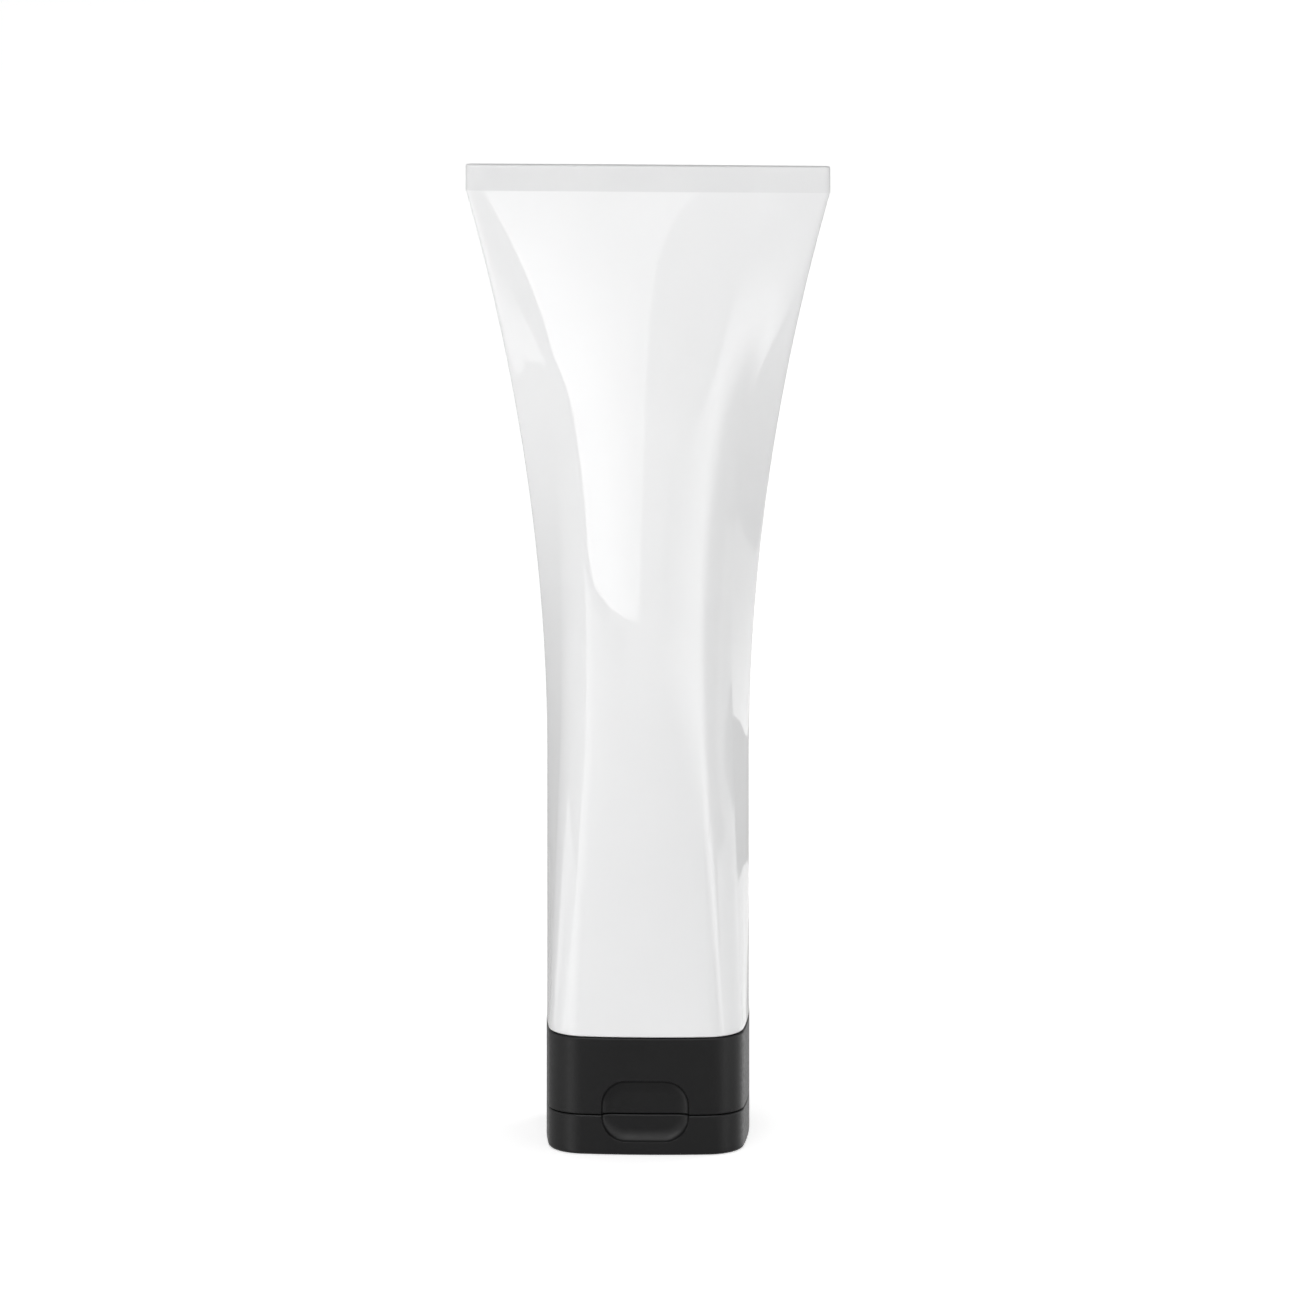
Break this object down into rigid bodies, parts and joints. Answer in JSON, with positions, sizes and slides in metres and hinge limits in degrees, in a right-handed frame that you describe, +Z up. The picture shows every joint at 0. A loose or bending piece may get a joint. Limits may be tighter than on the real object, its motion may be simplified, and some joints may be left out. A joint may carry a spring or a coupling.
{
  "type": "shaving cream tube",
  "caption": "Soft laminate squeeze tube of shaving cream with a flat crimped end, standing on a rounded-square cap whose flip lid has a finger notch and a plug for the spout",
  "frame": {"origin": "the middle of the lid's flat outer face, which the tube stands on", "axes": "+Z up, from the lid to the crimped end; -Y is the front, with the finger notch; +Y is the hinge side; X runs along the crimp"},
  "size_m": [0.0628, 0.0348, 0.1713],
  "materials": {
    "sleeve_white": "smooth glossy white laminate",
    "shoulder_white": "moulded natural polyethylene",
    "cap_black": "satin black polypropylene with a fine grain",
    "cream": "soft white cream"
  },
  "bodies": {
    "tube": {"tube_sleeve": "sleeve_white", "shoulder_and_neck": "shoulder_white", "cream_fill": "cream", "cap_base": "cap_black", "hinge_film_left": "cap_black", "hinge_film_right": "cap_black", "hinge_strap": "cap_black"},
    "lid": {"flip_lid": "cap_black"}
  },
  "joints": [
    {"name": "lid_hinge", "type": "hinge", "parent": "tube", "child": "lid", "pos_m": [0, 0.0169, 0.0071], "axis": [1, 0, 0], "range_deg": [0, 180], "deforming": ["hinge_film_left", "hinge_film_right", "hinge_strap"]}
  ]
}
